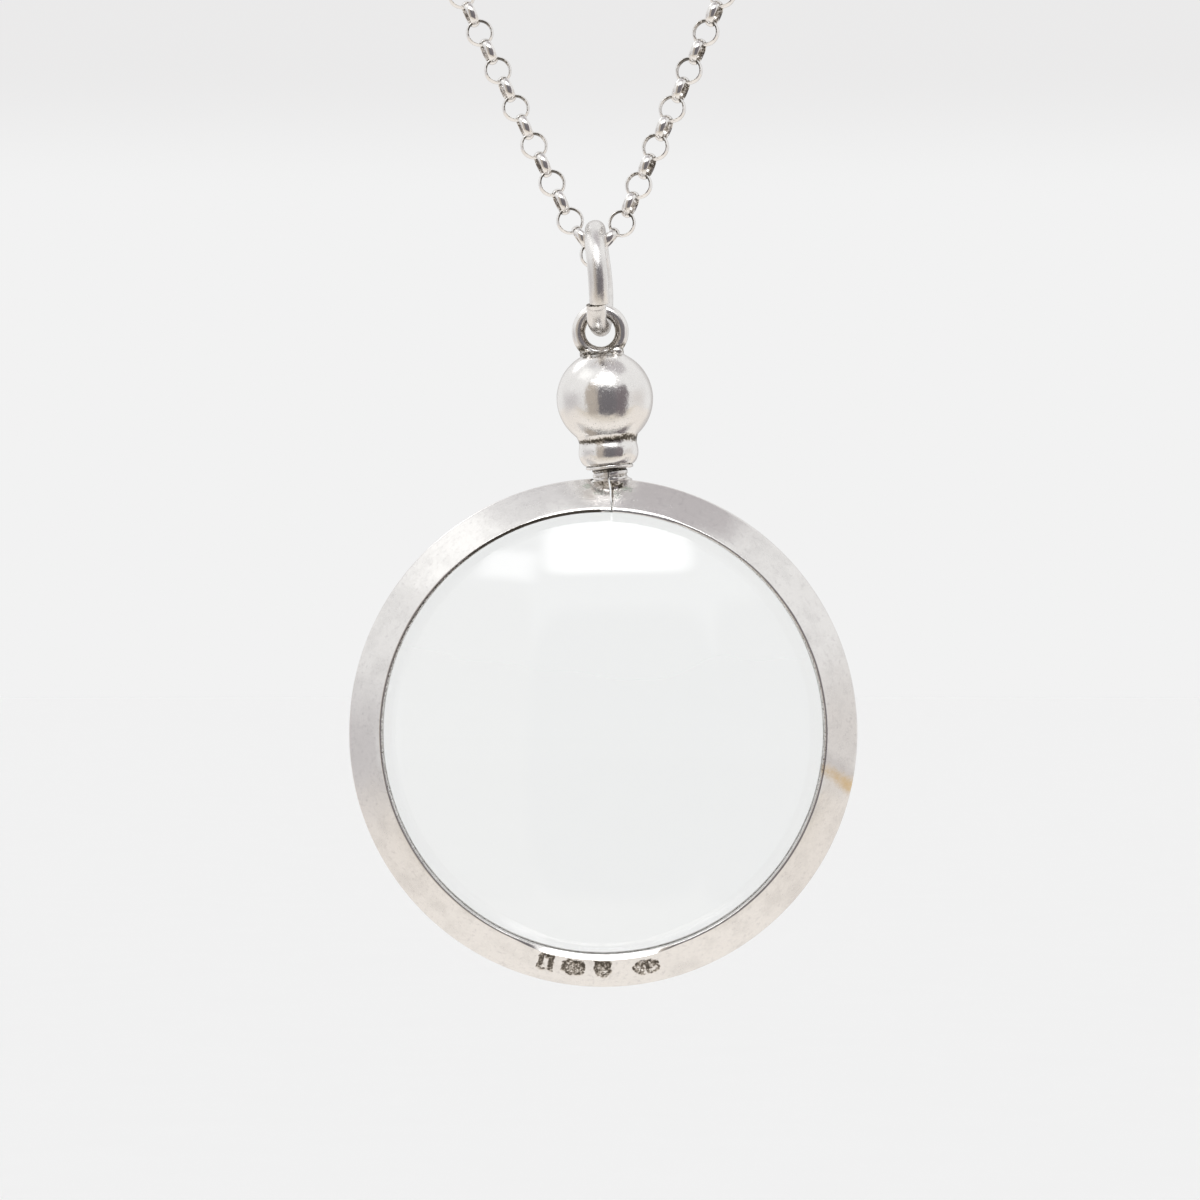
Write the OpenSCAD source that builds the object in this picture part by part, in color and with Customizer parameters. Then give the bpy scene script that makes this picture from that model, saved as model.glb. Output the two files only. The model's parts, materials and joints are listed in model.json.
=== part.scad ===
// Round double-glass locket that hangs by a ball-topped screw knob and a ring from a chain.
// Millimetres, +Z up, the locket faces -Y. The origin is the centre of the neck's hollow,
// level with the nape.

/* [Frame] */
// Outer diameter of the round frame
frame_d = 36.1; // [35:0.1:37]
// Diameter of the round window inside the frame's lip
window_d = 31.24; // [31:0.02:31.4]
// Slope of the frame's front and back faces
bevel_angle = 40; // [38:1:42]
// Radius of the rounded lip
lip_round = 0.36; // [0.3:0.02:0.4]
// Width of the frame's narrow outer edge
edge_w = 0.8; // [0.5:0.1:1]
// Width of the slit that lets the frame spring open
slit_w = 0.15; // [0.1:0.01:0.2]

/* [Glasses] */
// Outer radius of each domed glass
dome_r = 36; // [34:1:40]
// Thickness of each glass
glass_t = 0.9; // [0.8:0.1:1]

/* [Knob] */
// Diameter of the ball
ball_d = 6.84; // [6.6:0.02:7]
// Diameter of the collar below the ball
collar_d = 4.16; // [4:0.02:4.3]
// Diameter of the split screw post that stands on the frame
post_d = 2.5; // [2.4:0.1:2.6]
// Lean of the knob and post from the vertical, to the left
knob_lean = 4; // [3:0.5:5]
// Wire of the loop on top of the ball
loop_wire = 1; // [0.9:0.05:1]
// Hole of the loop
loop_hole = 2.08; // [2.08:0.02:2.12]

/* [Bail] */
// Outer diameter of the round bail
bail_d = 8.3; // [8.2:0.05:8.4]
// Wire of the bail
bail_wire = 1.3; // [1.2:0.02:1.3]
// Turn of the bail about the vertical
bail_yaw = 2; // [0:0.5:3]
// Lean of the bail's top to the left
bail_lean = 2.5; // [2:0.5:3]

/* [Chain] */
// Outer diameter of a link
link_d = 2; // [1.96:0.01:2]
// Wall of a link's band
link_wall = 0.16; // [0.14:0.01:0.16]
// Width of a link's band
link_w = 0.58; // [0.56:0.01:0.6]
// Spacing of the links along the chain
link_pitch = 1.48; // [1.475:0.0025:1.49]
// Separate links on each side of the lowest one
front_links = 30; // [4:2:34]
// Lean of the left strand from the vertical
left_lean = 25.7; // [25:0.1:27]
// Lean of the right strand from the vertical
right_lean = 23.7; // [23:0.1:25]

/* [Clasp] */
// Outer diameter of the closing ring at the nape
clasp_d = 5.4; // [5:0.1:5.6]
// Wire of the closing ring
clasp_wire = 1; // [0.9:0.1:1.1]

/* [Hidden] */

silver = [0.8, 0.8, 0.8];
dull_silver = [0.68, 0.68, 0.69];
clear_glass = [0.85, 0.92, 0.95, 0.4];
round_fn = 64;
fine_fn = 32;

// Where the chain holds the bail, and its lowest link beside it
hang = [0, -64, -128];
low_link_shift = [-0.21, 0, 0.04];
left_first_lean = 35.5;
right_first_lean = 41.5;
link_push = 0.08;

// Places below the lowest link
bail_x = 0.04;
bail_drop = 1.94;
bail_ring_r = (bail_d - bail_wire) / 2;
bail_z = bail_drop - bail_ring_r;
bail_cut_down = 2;
bail_cut_w = 0.08;
bail_cut_span = 4;
ball_at = [0.54, 0, -10.05];
frame_at = [0.42, 0, -33.77];

// Knob, measured along its own axis from the middle of the ball
loop_ring_r = (loop_hole + loop_wire) / 2;
loop_z = 4.74;
solder_z = 2.9;
solder_top_z = 3.66;
solder_r = 1.75;
solder_top_r = 1.25;
collar_top_z = -2.5;
collar_base_z = -5;
collar_edge = 0.35;
post_gap = 0.1;
bore_top_z = -1.2;

// Screw post, measured the same way
post_top_z = -1.7;
post_foot_z = -5.95;
foot_base_z = -6.6;
foot_base_r = 0.8;
slit_h = 12;
slit_deep = 10;

// Section of the frame, as radius and half depth
lip_r = window_d / 2 + lip_round;
lip_end_r = lip_r + lip_round * sin(bevel_angle);
lip_half = bevel_half(lip_end_r) - lip_round * cos(bevel_angle);
groove_r = window_d / 2 + 0.8;
groove_half = 1.28;
lip_steps = 8;

// Filed place on the front lip, left of the slit
notch_w = 0.57;
notch_deep = 0.12;
notch_over = 0.2;
slit_x = ball_at[0] - frame_at[0]
    + (ball_at[2] - frame_at[2] - window_d / 2) * tan(knob_lean);

// Rim of the glasses in the frame's groove
side_gap = 0.15;
rim_r = groove_r - side_gap;
rim_gap = 0.25;
rim_top = 1.2;
dome_y = rim_top - sqrt(dome_r * dome_r - pow(window_d / 2 - side_gap, 2));

// Shallow stamps on the lower front of the frame: angle from straight down, width, height
stamp_angle = 0;
stamp_width = 1;
stamp_height = 2;
stamps = [[-14.2, 1.2, 1.4], [-7.2, 1.7, 1.4], [-0.2, 1.25, 1.5], [10.4, 1.95, 1.5]];
stamp_deep = 0.09;
stamp_mark = 0.4;
stamp_r = 16.75;

// Route of the hidden chain on the right side, from the end of the front links to the clasp
side_route = [[28, -63, -66], [37, -57, -48], [45.5, -44, -32], [52.5, -26, -20], [56.5, -6, -11],
              [56, 14, -5], [48, 33, -2], [34, 47, -1], [17, 55, 0], [3, 57, 0]];
tube_sides = 8;
tube_steps = 3;
tube_lead = 1.2;
before_route = 20;
past_clasp = [-14, 56, 0];
clasp_at = [0, 57, 0];
clasp_nub = 1.1;
nub_overlap = 0.3;

// Chain geometry

function lean_dir(angle, side) = [side * sin(angle), 0, cos(angle)];
function first_lean(side) = side < 0 ? left_first_lean : right_first_lean;
function strand_lean(side) = side < 0 ? left_lean : right_lean;
function low_link() = hang + low_link_shift;

// The first two links on each side spread wider, and the bail's wire pushes the first one out
function link_at(side, k) = low_link()
    + min(k, 2) * link_pitch * lean_dir(first_lean(side), side)
    + max(k - 2, 0) * link_pitch * lean_dir(strand_lean(side), side)
    + (k == 1 ? link_push : 0) * lean_dir(first_lean(side) + 90, side);
function link_lean(side, k) = side * (k <= 1 ? first_lean(side) : strand_lean(side));

// A smooth curve through the points of a route
function curve_point(a, b, c, d, t) = 0.5 * (2 * b + (c - a) * t
    + (2 * a - 5 * b + 4 * c - d) * t * t + (3 * b - a - 3 * c + d) * t * t * t);
function curve(p) = [
    for (i = [1 : len(p) - 3], j = [0 : tube_steps - 1])
        curve_point(p[i - 1], p[i], p[i + 1], p[i + 2], j / tube_steps),
    p[len(p) - 2]];

function strand_end(side) = link_at(side, front_links)
    + tube_lead * lean_dir(strand_lean(side), side);
function mirrored(side, p) = [side * p[0], p[1], p[2]];
function side_points(side) = curve(concat(
    [strand_end(side) - before_route * lean_dir(strand_lean(side), side), strand_end(side)],
    [for (p = side_route) mirrored(side, p)],
    [mirrored(side, past_clasp)]));

function unit(v) = v / norm(v);
function tangent(p, i) = unit(p[min(i + 1, len(p) - 1)] - p[max(i - 1, 0)]);
function ring_point(centre, dir, r, angle) =
    let(across = unit(cross(dir, [0, 0, 1])), up = cross(across, dir))
    centre + r * (cos(angle) * across + sin(angle) * up);

module tube(path, r, sides) {
    rings = len(path);
    points = [for (i = [0 : rings - 1], s = [0 : sides - 1])
        ring_point(path[i], tangent(path, i), r, 360 * s / sides)];
    walls = [for (i = [0 : rings - 2], s = [0 : sides - 1])
        let(a = i * sides + s, b = i * sides + (s + 1) % sides)
        each [[a, a + sides, b + sides], [a, b + sides, b]]];
    caps = [[for (s = [0 : sides - 1]) s],
            [for (s = [sides - 1 : -1 : 0]) (rings - 1) * sides + s]];
    polyhedron(points, concat(walls, caps));
}

// Solids that repeat

module torus(ring_r, wire_r) {
    rotate_extrude($fn = round_fn) translate([ring_r, 0]) circle(wire_r, $fn = fine_fn);
}

// One link, its axis along Y, a flat band with rounded edges
module link() {
    band_r = link_d / 2 - link_wall / 2;
    half_flat = (link_w - link_wall) / 2;
    rotate([90, 0, 0]) rotate_extrude($fn = round_fn) translate([band_r, 0]) {
        square([link_wall, 2 * half_flat], center = true);
        for (end = [-1, 1]) translate([0, end * half_flat])
            circle(link_wall / 2, $fn = fine_fn);
    }
}

// Every second link shows its face, the others their band
module placed_link(side, k) {
    translate(link_at(side, k)) rotate([0, link_lean(side, k), 0])
        rotate([0, 0, k % 2 == 0 ? 0 : 90]) link();
}

module on_knob_axis() {
    translate(hang + ball_at) rotate([0, -knob_lean, 0]) children();
}

module on_frame() {
    translate(hang + frame_at) rotate([90, 0, 0]) children();
}

// Frame

function bevel_half(r) = edge_w / 2 + (frame_d / 2 - r) * tan(bevel_angle);

module half_section() {
    bead = [for (i = [0 : lip_steps])
        let(a = bevel_angle - i * (bevel_angle + 90) / lip_steps)
        [lip_r + lip_round * sin(a), lip_half + lip_round * cos(a)]];
    difference() {
        polygon(concat([[window_d / 2, 0], [frame_d / 2, 0], [frame_d / 2, edge_w / 2]], bead));
        translate([window_d / 2 - 1, -1]) square([groove_r - window_d / 2 + 1, groove_half + 1]);
    }
}

module frame_ring() {
    rotate_extrude($fn = 180) {
        half_section();
        mirror([0, 1]) half_section();
    }
}

// A plain stamp, sunk square to the bevel
module stamp(row) {
    rotate([0, 0, -90 + row[stamp_angle]]) translate([stamp_r, 0, bevel_half(stamp_r)])
        rotate([0, bevel_angle, 0]) translate([0, 0, -stamp_deep])
        linear_extrude(1) difference() {
            square([row[stamp_height], row[stamp_width]], center = true);
            rotate(45) square(row[stamp_height] * stamp_mark, center = true);
        }
}

module slit() {
    translate([-slit_w / 2, -slit_deep / 2, post_top_z + 1 - slit_h])
        cube([slit_w, slit_deep, slit_h]);
}

module lip_notch() {
    translate([slit_x - notch_w, window_d / 2 - notch_over, groove_half - notch_over])
        cube([notch_w, notch_over + notch_deep, lip_half]);
}

module post() {
    translate([0, 0, post_foot_z]) cylinder(h = post_top_z - post_foot_z, d = post_d, $fn = round_fn);
    translate([0, 0, foot_base_z])
        cylinder(h = post_foot_z - foot_base_z, r1 = foot_base_r, d2 = post_d, $fn = round_fn);
}

module frame() color(dull_silver) difference() {
    union() {
        on_frame() frame_ring();
        on_knob_axis() post();
    }
    on_knob_axis() slit();
    on_frame() lip_notch();
    on_frame() for (row = stamps) stamp(row);
}

// Glasses

module dome() {
    intersection() {
        translate([0, 0, dome_y]) difference() {
            sphere(dome_r, $fn = 180);
            sphere(dome_r - glass_t, $fn = 180);
        }
        translate([0, 0, rim_gap]) cylinder(h = dome_r, r = rim_r, $fn = 180);
    }
}

module front_glass() color(clear_glass) on_frame() dome();
module back_glass() color(clear_glass) on_frame() mirror([0, 0, 1]) dome();

// Knob

module collar() {
    waist = (collar_top_z - collar_base_z) / 2;
    rotate_extrude($fn = round_fn) {
        translate([0, collar_base_z + collar_edge])
            square([collar_d / 2, 2 * (waist - collar_edge)]);
        translate([0, collar_base_z]) square([collar_d / 2 - collar_edge, 2 * waist]);
        translate([collar_d / 2 - collar_edge, collar_base_z + collar_edge])
            circle(collar_edge, $fn = fine_fn);
    }
}

module knob() color(silver) on_knob_axis() difference() {
    union() {
        sphere(d = ball_d, $fn = round_fn);
        collar();
        translate([0, 0, solder_z])
            cylinder(h = solder_top_z - solder_z, r1 = solder_r, r2 = solder_top_r, $fn = round_fn);
        translate([0, 0, loop_z]) rotate([90, 0, 0]) torus(loop_ring_r, loop_wire / 2);
    }
    translate([0, 0, collar_base_z - 1])
        cylinder(h = bore_top_z - collar_base_z + 1, d = post_d + 2 * post_gap, $fn = round_fn);
}

// Bail

module bail() color(silver) translate(hang + [bail_x, 0, bail_z]) rotate([0, -bail_lean, -bail_yaw])
    difference() {
        rotate([0, 90, 0]) torus(bail_ring_r, bail_wire / 2);
        translate([-bail_cut_span / 2, -bail_d, -bail_cut_down])
            cube([bail_cut_span, bail_d, bail_cut_w]);
    }

// Chain and clasp

module chain_front() color(silver) {
    placed_link(1, 0);
    for (side = [-1, 1], k = [1 : front_links]) placed_link(side, k);
}

module chain_back() color(silver)
    for (side = [-1, 1]) tube(side_points(side), link_d / 2, tube_sides);

module clasp() color(silver) translate(clasp_at) {
    rotate([90, 0, 0]) torus((clasp_d - clasp_wire) / 2, clasp_wire / 2);
    translate([0, 0, -clasp_d / 2 - clasp_nub + nub_overlap])
        cylinder(h = clasp_nub, d = clasp_wire, $fn = fine_fn);
}

chain_front();
chain_back();
clasp();
bail();
knob();
frame();
front_glass();
back_glass();
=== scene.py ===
"""Looks of a round double-glass locket on its belcher chain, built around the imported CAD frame."""

import json
import math
import random
from collections import namedtuple

import bmesh
import bpy
import numpy as np
from mathutils import Matrix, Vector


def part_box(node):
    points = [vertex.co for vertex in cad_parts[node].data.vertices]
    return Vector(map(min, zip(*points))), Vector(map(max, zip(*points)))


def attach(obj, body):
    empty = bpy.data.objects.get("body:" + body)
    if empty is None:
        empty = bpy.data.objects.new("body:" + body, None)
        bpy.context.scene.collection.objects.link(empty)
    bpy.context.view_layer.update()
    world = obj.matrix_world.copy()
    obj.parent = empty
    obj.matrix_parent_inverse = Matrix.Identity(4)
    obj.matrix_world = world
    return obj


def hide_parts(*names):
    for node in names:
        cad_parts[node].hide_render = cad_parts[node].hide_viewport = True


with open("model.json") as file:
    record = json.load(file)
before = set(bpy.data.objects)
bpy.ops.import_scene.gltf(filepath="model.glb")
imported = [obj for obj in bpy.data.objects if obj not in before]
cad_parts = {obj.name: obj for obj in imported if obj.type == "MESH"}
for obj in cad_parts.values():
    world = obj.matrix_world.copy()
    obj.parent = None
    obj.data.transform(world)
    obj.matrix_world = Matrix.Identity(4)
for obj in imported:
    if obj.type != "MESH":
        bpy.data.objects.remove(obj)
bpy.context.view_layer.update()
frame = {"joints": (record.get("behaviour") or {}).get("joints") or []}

# Lengths below are in millimetres. They become metres where a mesh is made.
MM = 0.001
# Points nearer than this are made one: in a new shape, and where a cut left them on top of each other
NEW_POINT_GAP = 0.00001
CUT_POINT_GAP = 0.0003

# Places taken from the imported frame
JOINTS = {joint["name"]: joint for joint in frame["joints"]}
BALL_AT = np.array(JOINTS["knob_screw"]["pos_m"]) / MM
KNOB_UP = np.array(JOINTS["knob_screw"]["axis"])
HINGE_AT = np.array(JOINTS["bail_swing"]["pos_m"]) / MM


def box_middle(*nodes):
    """The middle of the box round some CAD nodes, in millimetres."""
    corners = np.array([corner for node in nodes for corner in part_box(node)])
    return (corners.min(0) + corners.max(0)) / 2 / MM


LOCKET_AT = box_middle("front_glass", "back_glass")
BAIL_AT = box_middle("bail")

# Ring of the locket
FRAME_R = 18.045
WINDOW_R = 15.62
BEVEL = math.radians(40)
EDGE_HALF = 0.18
GROOVE_R = 16.42
GROOVE_HALF = 1.28
SLIT_W = 0.12
NOTCH_W = 0.57
NOTCH_DEEP = 0.12

# Glasses
DOME_R = 36
INNER_DOME_R = 37.45
GLASS_T = 0.9
RIM_R = 16.27
RIM_GAP = 0.25
RIM_TOP = 1.2

# Knob and post, along the knob's axis from the middle of the ball
BALL_R = 3.42
COLLAR_BASE = -5
BORE_R = 1.35
BORE_TOP = -1.2
LOOP_R = 1.54
LOOP_WIRE_R = 0.5
LOOP_UP = 4.74
POST_R = 1.25
POST_TOP = -1.7
POST_FOOT = -5.95

# Bail
BAIL_R = 3.5
BAIL_WIRE_R = 0.64
BAIL_WIDER = 1.1
BAIL_YAW = math.radians(2.8)
BAIL_LEAN = math.radians(3.7)
BAIL_CUT_DOWN = 2.15
BAIL_SHIFT = np.array([0.05, 0, 0.05])
# How far the bail's wire strays to the right of its plane: degrees round from the cut, distance
BAIL_STRAY = [(0, 0.09), (35, 0.13), (90, 0), (166, 0), (225, 0.12), (308, -0.08), (336, -0.2),
              (360, -0.05)]
# How far the lower end at the cut lies off line
BAIL_END_SHIFT = np.array([-0.11, 0.04, 0])

# Chain
LINK_PITCH = 1.48
LINK_MID_R = 0.835
LINK_IN, LINK_OUT = 0.05, 0.155
LINK_HALF_WIDTH = 0.32
FRONT_LINKS = 30
# The hidden links are a little smaller, so that they stay within the reach of the CAD chain
BACK_LINK_SIZE = 0.96
FIRST_LEAN = {-1: math.radians(35.5), 1: math.radians(41.5)}
LINK_PUSH = 0.03
LOW_LINK_AT = HINGE_AT + np.array([0, 0, 0.12])
LOW_LINK_LEFT = 0.05
STRAND_LEAN = {-1: math.radians(25.7), 1: math.radians(23.7)}
STRAND_ROLL = {-1: math.radians(7.5), 1: math.radians(-15)}
SIDE_ROUTE = [(28, -63, -66), (37, -57, -48), (45.5, -44, -32), (52.5, -26, -20), (56.5, -6, -11),
              (56, 14, -5), (48, 33, -2), (34, 47, -1), (17, 55, 0), (3, 57, 0)]
PAST_CLASP = (-14, 56, 0)
BEFORE_ROUTE = 20
TUBE_LEAD = 1.2
CLASP_R = 2.2
CLASP_WIRE_R = 0.5
END_LINK_OUT = 0.24
CLASP_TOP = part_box("clasp")[1][2] / MM
CLASP_RING_AT = np.array([*box_middle("clasp")[:2], CLASP_TOP - CLASP_R - CLASP_WIRE_R])


# Geometry helpers

def axes(x_axis, y_axis, z_axis, origin):
    """A 4 by 4 matrix that takes a piece's own millimetres into the row frame's."""
    matrix = np.eye(4)
    matrix[:3, 0], matrix[:3, 1], matrix[:3, 2], matrix[:3, 3] = x_axis, y_axis, z_axis, origin
    return matrix


LOCKET_FRAME = axes(*np.eye(3), LOCKET_AT)
KNOB_FRAME = axes(np.cross((0, 1, 0), KNOB_UP), (0, 1, 0), KNOB_UP, BALL_AT)


def moved(points, matrix):
    """Points taken through a 4 by 4 matrix."""
    return points @ matrix[:3, :3].T + matrix[:3, 3]


def smooth(low, high, value):
    """0 below low, 1 above high and a smooth step between them."""
    t = np.clip((np.asarray(value, float) - low) / (high - low), 0, 1)
    return t * t * (3 - 2 * t)


def hill(value, middle, width):
    """1 at a middle value, and almost 0 two widths away from it."""
    return np.exp(-((value - middle) / width) ** 2)


def wobble(seed, u, v, waves, finest):
    """A smooth random surface of about -1 to 1 over two coordinates, from a sum of waves."""
    draw = random.Random(seed)
    total = np.zeros(np.broadcast(u, v).shape)
    for _ in range(waves):
        turn, pace = draw.uniform(0, 2 * math.pi), draw.uniform(0.35, 1) * finest
        shift = draw.uniform(0, 2 * math.pi)
        total += np.sin(pace * (math.cos(turn) * u + math.sin(turn) * v) + shift)
    return total / math.sqrt(waves)


def arc(middle_r, middle_z, radius, start, end, steps):
    """Points (r, z) on an arc, with angles in degrees from the r axis."""
    turns = np.radians(np.linspace(start, end, steps))
    return [(middle_r + radius * math.cos(t), middle_z + radius * math.sin(t)) for t in turns]


def full_turn(count):
    """Even steps of angle once round, without the end, which is the start again."""
    return np.linspace(0, 2 * math.pi, count, endpoint=False)


def turn_points(r, z, turns):
    """A grid of points at radii r and heights z, turned about Z by the angles."""
    x, y = r * np.cos(turns), r * np.sin(turns)
    return np.stack([x, y, np.broadcast_to(z, x.shape)], axis=2)


def spin(profile, columns):
    """A grid of points from turning (r, z) points about Z: one row a profile point."""
    r, z = np.array(profile, float).T[:, :, None]
    return turn_points(r, z, full_turn(columns))


def ring_grid(radius, wire, turns, sides):
    """A grid of points on a ring about Z: one row a turn."""
    around = full_turn(sides)
    return turn_points(radius + wire * np.cos(around), wire * np.sin(around), turns[:, None])


def ball_grid(middle, radii, seed):
    """A grid of points on a squashed and slightly lumpy ball."""
    ball = spin(arc(0, 0, 1, -90, 90, 24), 40)
    x, y, z = ball[:, :, 0], ball[:, :, 1], ball[:, :, 2]
    lumpy = 1 + 0.05 * wobble(seed, 2 * x + y, 2 * z - y, 8, 2)
    return ball * lumpy[:, :, None] * np.array(radii) + np.array(middle)


def grid_faces(rows, columns, close_rows):
    """The quads of a grid of points whose columns go all round, as its rows do where asked."""
    i, j = np.meshgrid(np.arange(rows if close_rows else rows - 1), np.arange(columns), indexing="ij")
    next_i, next_j = (i + 1) % rows, (j + 1) % columns
    corners = (i * columns + j, i * columns + next_j, next_i * columns + next_j, next_i * columns + j)
    return np.stack([corner.ravel() for corner in corners], axis=1).tolist()


def merge_points(mesh, gap, outwards=False):
    """Makes points nearer than a gap one, and turns the normals outwards where asked."""
    edit = bmesh.new()
    edit.from_mesh(mesh)
    bmesh.ops.remove_doubles(edit, verts=edit.verts, dist=gap)
    if outwards:
        bmesh.ops.recalc_face_normals(edit, faces=edit.faces)
    edit.to_mesh(mesh)
    edit.free()


class Shape:
    """Points and faces that are gathered into one mesh."""

    def __init__(self):
        self.points, self.faces, self.count = [], [], 0

    def add(self, points, faces):
        self.points.append(points.reshape(-1, 3))
        self.faces += [[corner + self.count for corner in face] for face in faces]
        self.count += len(self.points[-1])

    def add_grid(self, grid, close_rows=False, caps=False):
        rows, columns = grid.shape[:2]
        faces = grid_faces(rows, columns, close_rows)
        if caps:
            faces += [list(range(columns)), list(range((rows - 1) * columns, rows * columns))]
        self.add(grid, faces)

    def build(self, name):
        """An object whose mesh is still in its own millimetres."""
        mesh = bpy.data.meshes.new(name)
        mesh.from_pydata(np.concatenate(self.points).tolist(), [], self.faces)
        merge_points(mesh, NEW_POINT_GAP, outwards=True)
        piece = bpy.data.objects.new(name, mesh)
        bpy.context.scene.collection.objects.link(piece)
        return piece


def grid_piece(name, grid, close_rows=False, caps=False):
    """An object made of one grid."""
    shape = Shape()
    shape.add_grid(grid, close_rows, caps)
    return shape.build(name)


def block(name, low, high, matrix=np.eye(4)):
    """A block between two corners, taken through a matrix."""
    x, y, z = zip(low, high)
    points = np.array([(x[i], y[j], z[k]) for i in (0, 1) for j in (0, 1) for k in (0, 1)])
    shape = Shape()
    shape.add(moved(points, matrix),
              [(0, 1, 3, 2), (4, 6, 7, 5), (0, 4, 5, 1), (2, 3, 7, 6), (0, 2, 6, 4), (1, 5, 7, 3)])
    return shape.build(name)


def combine(piece, operation, *tools):
    """Fuses tools to a piece, or cuts them from it, keeps its surface closed and removes the tools."""
    for tool in tools:
        modifier = piece.modifiers.new(operation, "BOOLEAN")
        modifier.operation = operation
        modifier.solver = "EXACT"
        modifier.object = tool
    graph = bpy.context.evaluated_depsgraph_get()
    mesh = bpy.data.meshes.new_from_object(piece.evaluated_get(graph))
    piece.modifiers.clear()
    piece.data = mesh
    merge_points(mesh, CUT_POINT_GAP)
    for tool in tools:
        bpy.data.objects.remove(tool)


def points_of(piece):
    """A piece's vertices as an array."""
    flat = np.zeros(len(piece.data.vertices) * 3)
    piece.data.vertices.foreach_get("co", flat)
    return flat.reshape(-1, 3)


def mark(piece, name, values):
    """Stores a number, or a vector, for each vertex, which the materials read."""
    values = np.asarray(values, np.float32)
    kind, field = ("FLOAT", "value") if values.ndim == 1 else ("FLOAT_VECTOR", "vector")
    attribute = piece.data.attributes.new(name, kind, "POINT")
    attribute.data.foreach_set(field, values.ravel())


def finish_piece(piece, matrix, body, node, material, sharp=35):
    """Puts a piece into the row frame in metres, shades it, hangs it on its body and hides the CAD part
    that it replaces.
    """
    piece.data.transform(Matrix(matrix))
    piece.data.transform(Matrix.Scale(MM, 4))
    piece.data.shade_smooth()
    piece.data.set_sharp_from_angle(angle=math.radians(sharp))
    piece.data.materials.clear()
    piece.data.materials.append(material)
    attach(piece, body)
    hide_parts(node)


# Node helpers

class Nodes:
    """Short ways to add and join the nodes of one node tree."""

    def __init__(self, tree):
        self.tree = tree
        tree.nodes.clear()

    def add(self, kind, inputs, **settings):
        node = self.tree.nodes.new("ShaderNode" + kind)
        for name, value in settings.items():
            setattr(node, name, value)
        for name, value in inputs.items():
            if isinstance(value, bpy.types.NodeSocket):
                self.tree.links.new(value, node.inputs[name])
            else:
                node.inputs[name].default_value = value
        return node

    def math(self, operation, *values):
        return self.add("Math", dict(enumerate(values)), operation=operation).outputs[0]

    def plus(self, *values):
        return self.math("ADD", *values)

    def times(self, *values):
        return self.math("MULTIPLY", *values)

    def mix(self, share, a, b):
        return self.add("Mix", {0: share, 6: a, 7: b}, data_type="RGBA").outputs[2]

    def blend(self, share, a, b):
        return self.add("Mix", {0: share, 2: a, 3: b}, data_type="FLOAT").outputs[0]

    def step(self, value, low, high, bottom=0.0, top=1.0):
        levels = {0: value, 1: low, 2: high, 3: bottom, 4: top}
        return self.add("MapRange", levels, interpolation_type="SMOOTHSTEP").outputs[0]

    def scaled(self, vector, scale):
        return self.add("VectorMath", {0: vector, 1: scale}, operation="MULTIPLY").outputs[0]

    def noise(self, vector, scale, detail, roughness):
        settings = {"Vector": vector, "Scale": scale, "Detail": detail, "Roughness": roughness}
        return self.add("TexNoise", settings).outputs[0]

    def parts(self, vector):
        return self.add("SeparateXYZ", {0: vector}).outputs

    def mark(self, name, output="Fac"):
        return self.add("Attribute", {}, attribute_name=name).outputs[output]


def new_material(name):
    """A material with an empty node tree."""
    material = bpy.data.materials.new(name)
    material.use_nodes = True
    return material, Nodes(material.node_tree)


# Materials

TARNISH_AND_SHADE = (0.075, 0.066, 0.055, 1)
BROWN = (0.3, 0.25, 0.19, 1)
VERDIGRIS = (0.3, 0.4, 0.3, 1)
# Colour of the painted gold reflection on the ring's front face
GOLD_REFLECTION = (0.76, 0.56, 0.3, 1)
DUSK = (0.6, 0.575, 0.585, 1)
STAINED_AND_SHADED_ROUGHNESS = 0.42


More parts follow.
